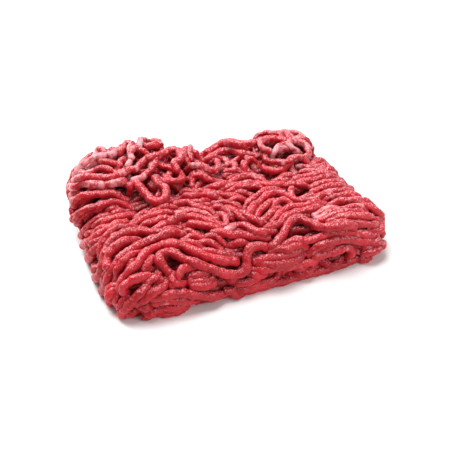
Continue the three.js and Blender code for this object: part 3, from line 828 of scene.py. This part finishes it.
def strandTree():
    tree = bpy.data.node_groups.new("strandSweep", "GeometryNodeTree")
    face = tree.interface
    face.new_socket("Geometry", in_out="INPUT", socket_type="NodeSocketGeometry")
    face.new_socket("Sides", in_out="INPUT", socket_type="NodeSocketInt")
    for name in list(sweeping)[1:]:
        face.new_socket(name, in_out="INPUT", socket_type="NodeSocketFloat")
    face.new_socket("Material", in_out="INPUT", socket_type="NodeSocketMaterial")
    face.new_socket("Geometry", in_out="OUTPUT", socket_type="NodeSocketGeometry")
    make = nodeMaker(tree)
    link = tree.links.new
    given = make("NodeGroupInput")
    curve = make("GeometryNodeMeshToCurve")
    spline = make("GeometryNodeCurveSplineType", spline_type="CATMULL_ROM")
    thickness = make("GeometryNodeInputNamedAttribute", data_type="FLOAT")
    thickness.inputs["Name"].default_value = "girth"
    even = make("GeometryNodeResampleCurve", mode="LENGTH")
    circle = make("GeometryNodeCurvePrimitiveCircle")
    circle.inputs["Radius"].default_value = 1.0
    sweep = make("GeometryNodeCurveToMesh")
    sweep.inputs["Fill Caps"].default_value = True
    link(given.outputs["Geometry"], curve.inputs["Mesh"])
    link(curve.outputs["Curve"], spline.inputs["Curve"])
    link(spline.outputs["Curve"], even.inputs["Curve"])
    link(thickness.outputs["Attribute"], sweep.inputs["Scale"])
    link(given.outputs["Ring spacing"], even.inputs["Length"])
    link(even.outputs["Curve"], sweep.inputs["Curve"])
    link(given.outputs["Sides"], circle.inputs["Resolution"])
    link(circle.outputs["Curve"], sweep.inputs["Profile Curve"])
    bumpy = unevenSurface(make, link, given, sweep.outputs["Mesh"])
    onFloor = liftedOffFloor(make, link, bumpy)
    shade = make("GeometryNodeSetShadeSmooth")
    real = make("GeometryNodeRealizeInstances")
    paint = make("GeometryNodeSetMaterial")
    out = make("NodeGroupOutput")
    link(onFloor, shade.inputs["Geometry"])
    link(shade.outputs["Geometry"], real.inputs["Geometry"])
    link(real.outputs["Geometry"], paint.inputs["Geometry"])
    link(given.outputs["Material"], paint.inputs["Material"])
    link(paint.outputs["Geometry"], out.inputs["Geometry"])
    return tree


# Two noises move the surface out and in, each by up to its depth. Their fourth coordinate is the
# strand's own tone, so no two strands are alike.
def unevenSurface(make, link, given, mesh):
    place = make("GeometryNodeInputPosition")
    normal = make("GeometryNodeInputNormal")
    tone = make("GeometryNodeInputNamedAttribute", data_type="FLOAT")
    tone.inputs["Name"].default_value = "tone"
    shift = make("ShaderNodeMath", operation="MULTIPLY")
    link(tone.outputs["Attribute"], shift.inputs[0])
    link(given.outputs["Seed"], shift.inputs[1])
    parts = []
    for size, depth in (("Lump size", "Lump depth"), ("Grain size", "Grain depth")):
        scale = make("ShaderNodeMath", operation="DIVIDE")
        scale.inputs[0].default_value = 1.0
        link(given.outputs[size], scale.inputs[1])
        noise = make("ShaderNodeTexNoise", noise_dimensions="4D")
        noise.inputs["Detail"].default_value = 1.0
        link(place.outputs["Position"], noise.inputs["Vector"])
        link(shift.outputs["Value"], noise.inputs["W"])
        link(scale.outputs["Value"], noise.inputs["Scale"])
        middle = make("ShaderNodeMath", operation="SUBTRACT")
        middle.inputs[1].default_value = 0.5  # a noise goes up and down around a half
        link(noise.outputs["Fac"], middle.inputs[0])
        deep = make("ShaderNodeMath", operation="MULTIPLY")
        link(middle.outputs["Value"], deep.inputs[0])
        link(given.outputs[depth], deep.inputs[1])
        parts.append(deep)
    total = make("ShaderNodeMath", operation="ADD")
    link(parts[0].outputs["Value"], total.inputs[0])
    link(parts[1].outputs["Value"], total.inputs[1])
    twice = make("ShaderNodeMath", operation="MULTIPLY")
    twice.inputs[1].default_value = 2.0
    link(total.outputs["Value"], twice.inputs[0])
    offset = make("ShaderNodeVectorMath", operation="SCALE")
    link(normal.outputs["Normal"], offset.inputs[0])
    link(twice.outputs["Value"], offset.inputs["Scale"])
    move = make("GeometryNodeSetPosition")
    link(mesh, move.inputs["Geometry"])
    link(offset.outputs["Vector"], move.inputs["Offset"])
    return move.outputs["Geometry"]


# Meat that reaches the floor lies flat on it.
def liftedOffFloor(make, link, mesh):
    place = make("GeometryNodeInputPosition")
    apart = make("ShaderNodeSeparateXYZ")
    highest = make("ShaderNodeMath", operation="MAXIMUM")
    highest.inputs[1].default_value = 0.0
    together = make("ShaderNodeCombineXYZ")
    move = make("GeometryNodeSetPosition")
    link(place.outputs["Position"], apart.inputs["Vector"])
    link(apart.outputs["X"], together.inputs["X"])
    link(apart.outputs["Y"], together.inputs["Y"])
    link(apart.outputs["Z"], highest.inputs[0])
    link(highest.outputs["Value"], together.inputs["Z"])
    link(mesh, move.inputs["Geometry"])
    link(together.outputs["Vector"], move.inputs["Position"])
    return move.outputs["Geometry"]


# A strand gets thinner and thicker along its way, and its ends are round.
girth = {
    "share": 0.96,  # the grain stands out beyond this
    "waves": ((5.0, 0.04), (13.0, 0.07), (2.7, 0.02)),  # length and depth
    "bluntLength": 1.6,
    "endStep": 0.25,
    "smallest": 0.05,
}


def girthAlong(count, radius):
    at = np.arange(count, dtype=float)
    swell = np.zeros(count)
    for wave, depth in girth["waves"]:
        swell += depth * np.sin(at / wave * 2 * math.pi + draws.uniform(0, 2 * math.pi))
    fromEnd = np.minimum(at, at[::-1]) * strand["spacing"] + girth["endStep"]
    short = 1 - np.minimum(fromEnd / girth["bluntLength"], 1)
    blunt = np.sqrt(np.clip(1 - short ** 2, girth["smallest"], 1))
    return girth["share"] * radius * (1 + swell) * blunt


# Fat gathers in places, and often at one end.
fatness = {"wave": 0.25, "waveLength": 6.0, "endFrom": 0.35, "atEnd": 1.2, "endLength": 9}


def fatAlong(count, fat):
    at = np.arange(count)
    turned = draws.uniform(0, 2 * math.pi)
    wave = 1 - fatness["wave"] + fatness["wave"] * np.sin(at / fatness["waveLength"] + turned)
    if fat <= fatness["endFrom"]:
        return fat * wave
    return fat * wave + fat * fatness["atEnd"] * (1 - smoothstep(at, 0, fatness["endLength"]))


# The block gets paler to the right and to the back, a painted highlight carried as more fat: from here to
# there, in mm, by this much more fat.
paintedHighlightRightBack = {"right": (-30.0, 75.0, 0.4), "back": (-40.0, 50.0, 0.25)}


def paintedHighlightAt(points):
    low, high, more = paintedHighlightRightBack["right"]
    pale = more * smoothstep(points[:, 0], low, high)
    low, high, more = paintedHighlightRightBack["back"]
    return pale + more * smoothstep(points[:, 1], low, high)


def strandObject(name, lines, offset, material, settings):
    places, edges, girths, tones, fatAndPaintedHighlight, paintedShadeBelow = [], [], [], [], [], []
    for line in lines:
        first = len(places)
        count = len(line["points"])
        places.extend((line["points"] + offset) * millimetre)
        edges.extend((first + i, first + i + 1) for i in range(count - 1))
        girths.extend(girthAlong(count, line["radius"]) * millimetre)
        tones.extend([draws.uniform(0, 1)] * count)
        # the fat attribute holds the strand's own fat and the painted highlight to the right and back
        fatAndPaintedHighlight.extend(fatAlong(count, line["fat"]) + paintedHighlightAt(line["points"]))
        # painted shade: the strands below are given a darker red
        paintedShadeBelow.extend([1.0 if line["kind"] == "under" else 0.0] * count)
    mesh = bpy.data.meshes.new(name)
    mesh.from_pydata([tuple(p) for p in places], edges, [])
    for key, values in (("girth", girths), ("tone", tones), ("fat", fatAndPaintedHighlight), ("deep", paintedShadeBelow)):
        mesh.attributes.new(key, "FLOAT", "POINT").data.foreach_set("value", np.array(values, np.float32))
    guide = bpy.data.objects.new(name + "Guide", mesh)
    bpy.context.scene.collection.objects.link(guide)
    tree = strandTree()
    sweep = guide.modifiers.new("strandSweep", "NODES")
    sweep.node_group = tree
    for key, value in {**sweeping, **settings}.items():
        setInput(tree, sweep, key, value)
    setInput(tree, sweep, "Material", material)
    bpy.context.view_layer.update()
    solid = bpy.data.meshes.new_from_object(guide.evaluated_get(bpy.context.evaluated_depsgraph_get()))
    bpy.data.objects.remove(guide)
    piece = bpy.data.objects.new(name, solid)
    piece.data.name = name
    bpy.context.scene.collection.objects.link(piece)
    print("made", name, len(lines), "strands", len(solid.polygons), "faces")
    return piece


# The meat under the strands: the block's form a little smaller, rolled from rings around its middle.
core = {
    "sunk": 4.6,  # below the bed
    "around": 240,  # points of a ring
    "flatRings": 60,
    "edgeRings": 18,
    "aboveFloor": 1.0,
    "bottom": 0.9,
    "spreadAtCorners": 0.9,  # turns the rows over the edge a little to the long sides
    "ripple": 0.45,
}


# Square rings on the flat middle, then rings that go out over the edge.
def coreRings():
    angle = np.linspace(0, 2 * math.pi, core["around"], endpoint=False)
    across, along = np.cos(angle), np.sin(angle)
    square = np.maximum(abs(across), abs(along))
    rings = []
    for ring in range(core["flatRings"] + 1):
        share = ring / core["flatRings"]
        rings.append((across / square * share * halfU, along / square * share * halfV))
    u0, v0 = rings[-1]
    angle = np.arctan2(v0 / halfV, u0 / halfU)
    turn = np.arctan2(np.sin(angle) * core["spreadAtCorners"], np.cos(angle))
    furthest = quarterTurn + sideTop - core["aboveFloor"]
    for ring in range(1, core["edgeRings"] + 1):
        out = furthest * ring / core["edgeRings"]
        rings.append((u0 + out * np.cos(turn), v0 + out * np.sin(turn)))
    return rings


# Fine ripples that bend, so that they don't look like a grid between the strands.
def corePoints(offset):
    points = []
    for u, v in coreRings():
        ripple = core["ripple"] * np.sin(u * 1.1 + 2 * np.sin(v / 3)) * np.sin(v * 1.25 + 2 * np.sin(u / 4))
        points.append(rollUp(u, v, bedHeight(u, v) - core["sunk"] + ripple))
    points = np.array(points) + offset
    points[..., 2] = np.maximum(points[..., 2], core["bottom"])
    return points


# Triangles round the middle, four-sided faces between the rings, and triangles round the foot's middle.
def coreFaces(rows, around, foot):
    faces = []
    for row in range(rows - 1):
        here, nextRow = row * around, (row + 1) * around
        for i in range(around):
            j = (i + 1) % around
            if row == 0:
                faces.append((0, nextRow + i, nextRow + j))
            else:
                faces.append((here + i, nextRow + i, nextRow + j, here + j))
    last = (rows - 1) * around
    for i in range(around):
        faces.append((last + i, foot, last + (i + 1) % around))
    return faces


def coreObject(offset, material):
    points = corePoints(offset)
    rows, around = points.shape[:2]
    places = [tuple(p) for p in points.reshape(-1, 3) * millimetre]
    places.append((0.0, 0.0, core["bottom"] * millimetre))
    mesh = bpy.data.meshes.new("meatUnderStrands")
    mesh.from_pydata(places, [], coreFaces(rows, around, len(places) - 1))
    shape = bmesh.new()
    shape.from_mesh(mesh)
    bmesh.ops.remove_doubles(shape, verts=shape.verts, dist=0.01 * millimetre)
    bmesh.ops.recalc_face_normals(shape, faces=shape.faces)
    shape.to_mesh(mesh)
    shape.free()
    mesh.materials.append(material)
    mesh.shade_smooth()
    piece = bpy.data.objects.new("meatUnderStrands", mesh)
    bpy.context.scene.collection.objects.link(piece)
    print("made meatUnderStrands", len(mesh.polygons), "faces")
    return piece


# Materials
meat = {
    "dark": (0.36, 0.005, 0.011),
    "bright": (0.52, 0.012, 0.023),
    "deep": (0.30, 0.003, 0.006),  # painted shade of the strands below
    "pale": (0.88, 0.38, 0.43),  # specks of fat, and painted highlight on faces that look up
    "fatty": (0.95, 0.47, 0.50),  # streaks of fat
    "slowScale": 110.0,
    "slowRange": (0.35, 0.85),
    "toneShare": 0.2,  # how far strands differ from each other
    "fleckScale": 1350.0,
    "fleckDetail": 3.0,
    "fleckRoughness": 0.6,
    "fleckRange": (0.51, 0.6),
    "fleckAndHighlightOnTop": 0.9,  # share of pale specks on faces that look up: fat and painted highlight
    "fleckAndHighlightBelow": 0.0,
    "paintedHighlightUp": (0.45, 1.0),
    "fatRange": (0.0, 0.8),
    "fleckByFat": (0.8, 1.5),
    "patchScale": 260.0,
    "streakByFat": 0.4,
    "streakRange": (0.74, 1.1),
    "streakShare": 0.7,
    "grainStrength": 0.6,
    "grainDepth": 0.0003,
}
meatShader = {
    "Roughness": 0.36,
    "Subsurface Weight": 0.5,
    "Subsurface Radius": (1.0, 0.2, 0.12),
    "Subsurface Scale": 0.0022,
    "Specular IOR Level": 0.28,
    "Sheen Weight": 0.14,
    "Sheen Roughness": 0.4,
    "Sheen Tint": (1.0, 0.62, 0.68, 1.0),
}
shaded = {"dark": (0.16, 0.004, 0.008), "light": (0.32, 0.008, 0.015), "scale": 300.0, "roughness": 0.5}


def newMaterial(name):
    material = bpy.data.materials.new(name)
    material.use_nodes = True
    tree = material.node_tree
    return material, tree, tree.nodes["Principled BSDF"]


def mixColours(make, link, factor, first, second):
    mix = make("ShaderNodeMix", data_type="RGBA")
    link(factor, mix.inputs["Factor"])
    for socket, value in (("A", first), ("B", second)):
        if isinstance(value, tuple):
            mix.inputs[socket].default_value = (*value, 1)
        else:
            link(value, mix.inputs[socket])
    return mix.outputs["Result"]


def ranged(make, link, value, given, to=(0.0, 1.0)):
    band = make("ShaderNodeMapRange", interpolation_type="SMOOTHSTEP")
    limits = {"From Min": given[0], "From Max": given[1], "To Min": to[0], "To Max": to[1]}
    for name, number in limits.items():
        band.inputs[name].default_value = number
    link(value, band.inputs["Value"])
    return band.outputs["Result"]


def combined(make, link, operation, first, second):
    node = make("ShaderNodeMath", operation=operation)
    for index, value in enumerate((first, second)):
        if isinstance(value, float):
            node.inputs[index].default_value = value
        else:
            link(value, node.inputs[index])
    return node.outputs["Value"]


def noiseOf(make, link, place, scale, detail=2.0, roughness=0.5):
    noise = make("ShaderNodeTexNoise")
    noise.inputs["Scale"].default_value = scale
    noise.inputs["Detail"].default_value = detail
    noise.inputs["Roughness"].default_value = roughness
    link(place, noise.inputs["Vector"])
    return noise.outputs["Fac"]


# Lean meat: dark and bright red in slow patches, and painted shade on the strands below.
def leanColour(make, link, place):
    tone = make("ShaderNodeAttribute", attribute_name="tone").outputs["Fac"]
    deep = make("ShaderNodeAttribute", attribute_name="deep").outputs["Fac"]
    own = combined(make, link, "MULTIPLY", tone, meat["toneShare"])
    blend = combined(make, link, "ADD", own, noiseOf(make, link, place, meat["slowScale"]))
    lean = mixColours(make, link, ranged(make, link, blend, meat["slowRange"]), meat["dark"], meat["bright"])
    # painted shade mixed in where the deep attribute is set
    return mixColours(make, link, deep, lean, meat["deep"])


# Pale specks of fat, more on what looks up as painted highlight, and streaks of fat where a strand is fat or
# painted paler.
def fatOver(make, link, where, fleck, lean):
    facing = make("ShaderNodeSeparateXYZ")
    link(where.outputs["Normal"], facing.inputs["Vector"])
    fat = make("ShaderNodeAttribute", attribute_name="fat").outputs["Fac"]
    # painted highlight: the pale specks gather on faces that look up
    paintedHighlightUp = ranged(make, link, facing.outputs["Z"], meat["paintedHighlightUp"], (meat["fleckAndHighlightBelow"], meat["fleckAndHighlightOnTop"]))
    more = ranged(make, link, fat, meat["fatRange"], meat["fleckByFat"])
    amount = combined(make, link, "MULTIPLY", more, paintedHighlightUp)
    flecks = combined(make, link, "MULTIPLY", ranged(make, link, fleck, meat["fleckRange"]), amount)
    speckled = mixColours(make, link, flecks, lean, meat["pale"])
    patch = noiseOf(make, link, where.outputs["Object"], meat["patchScale"])
    patch = combined(make, link, "ADD", combined(make, link, "MULTIPLY", fat, meat["streakByFat"]), patch)
    streak = ranged(make, link, patch, meat["streakRange"])
    streak = combined(make, link, "MULTIPLY", streak, meat["streakShare"])
    return mixColours(make, link, streak, speckled, meat["fatty"])


def beefMaterial():
    material, tree, shader = newMaterial("rawBeef")
    make = nodeMaker(tree)
    link = tree.links.new
    where = make("ShaderNodeTexCoord")
    place = where.outputs["Object"]
    fleck = noiseOf(make, link, place, meat["fleckScale"], meat["fleckDetail"], meat["fleckRoughness"])
    colour = fatOver(make, link, where, fleck, leanColour(make, link, place))
    link(colour, shader.inputs["Base Color"])
    for name, value in meatShader.items():
        shader.inputs[name].default_value = value
    bump = make("ShaderNodeBump")
    bump.inputs["Strength"].default_value = meat["grainStrength"]
    bump.inputs["Distance"].default_value = meat["grainDepth"]
    link(fleck, bump.inputs["Height"])
    link(bump.outputs["Normal"], shader.inputs["Normal"])
    return material


def shadeMaterial():
    material, tree, shader = newMaterial("beefInShade")
    make = nodeMaker(tree)
    link = tree.links.new
    place = make("ShaderNodeTexCoord").outputs["Object"]
    slow = noiseOf(make, link, place, shaded["scale"])
    link(mixColours(make, link, slow, shaded["dark"], shaded["light"]), shader.inputs["Base Color"])
    shader.inputs["Roughness"].default_value = shaded["roughness"]
    return material


# Camera, floor and light. Lights stand at these places in metres and look at the block.
floorPlane = {"half": 3.0, "colour": (0.9, 0.9, 0.9, 1), "roughness": 0.8}
skyStrength = 0.35
lights = {
    "keyLight": {"location": (-0.1, 0.2, 1.2), "size": 0.7, "energy": 15.0},
    "backLight": {"location": (-0.5, 1.1, 0.8), "size": 0.7, "energy": 16.5},
    "fillLight": {"location": (0.6, -1.0, 0.5), "size": 0.9, "energy": 6.5},
}


def placeCamera(offset):
    data = bpy.data.cameras.new("camera")
    data.lens = view["lens"]
    data.sensor_width = 36.0
    data.clip_start = 0.01
    camera = bpy.data.objects.new("camera", data)
    bpy.context.scene.collection.objects.link(camera)
    camera.location = (np.array(view["aim"]) + offset + wayToCamera() * view["distance"]) * millimetre
    camera.rotation_euler = (math.radians(90 - view["elevation"]), 0, math.radians(view["azimuth"]))
    bpy.context.scene.camera = camera


def placeFloor():
    half = floorPlane["half"]
    corners = [(-half, -half, 0), (half, -half, 0), (half, half, 0), (-half, half, 0)]
    mesh = bpy.data.meshes.new("floor")
    mesh.from_pydata(corners, [], [(0, 1, 2, 3)])
    floor = bpy.data.objects.new("floor", mesh)
    bpy.context.scene.collection.objects.link(floor)
    material, tree, shader = newMaterial("paleFloor")
    shader.inputs["Base Color"].default_value = floorPlane["colour"]
    shader.inputs["Roughness"].default_value = floorPlane["roughness"]
    mesh.materials.append(material)


def placeLight(name, location, size, energy):
    data = bpy.data.lights.new(name, "AREA")
    data.size = size
    data.energy = energy
    lamp = bpy.data.objects.new(name, data)
    bpy.context.scene.collection.objects.link(lamp)
    lamp.location = location
    direction = -np.array(location)
    yaw = math.atan2(direction[1], direction[0])
    pitch = math.atan2(math.hypot(direction[0], direction[1]), -direction[2])
    lamp.rotation_euler = (pitch, 0, yaw - math.pi / 2)


def placeLights():
    world = bpy.data.worlds.new("studio")
    bpy.context.scene.world = world
    world.use_nodes = True
    sky = world.node_tree.nodes["Background"]
    sky.inputs["Color"].default_value = (1, 1, 1, 1)
    sky.inputs["Strength"].default_value = skyStrength
    for name, light in lights.items():
        placeLight(name, **light)


bpy.context.scene.view_settings.view_transform = "Standard"
laid = layBlock()
cloud = np.vstack([line["points"] for line in laid])
low, high = cloud.min(0), cloud.max(0)
offset = np.array([-(low[0] + high[0]) / 2, -(low[1] + high[1]) / 2, 0.0])
print("block spans", np.round(low, 1), np.round(high, 1))
# Strands become one piece for each region: its borders on the unrolled surface.
regions = {"frontFace": -52, "side": 60, "middle": 0}


def pieceOf(line):
    if line["kind"] in ("under", "underside"):
        return line["kind"] + "Strands"
    if line["kind"] == "curl":
        return "curledStrands"
    u, v = line["path"].mean(0)
    if v < regions["frontFace"]:
        return "frontStrands"
    if abs(u) > regions["side"] or v > halfV:
        return "leftStrands" if u < -regions["side"] else "sideStrands"
    return "topStrandsLeft" if u < regions["middle"] else "topStrandsRight"


strandsOf = {}
for line in laid:
    strandsOf.setdefault(pieceOf(line), []).append(line)
beef = beefMaterial()
pieces = []
for name, lines in strandsOf.items():
    settings = coarseSweep if name.startswith("under") else {}
    pieces.append(strandObject(name, lines, offset, beef, settings))
pieces.append(coreObject(offset, shadeMaterial()))
for piece in pieces:
    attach(piece, "root")
    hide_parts("mince_block")
placeCamera(offset)
placeFloor()
placeLights()
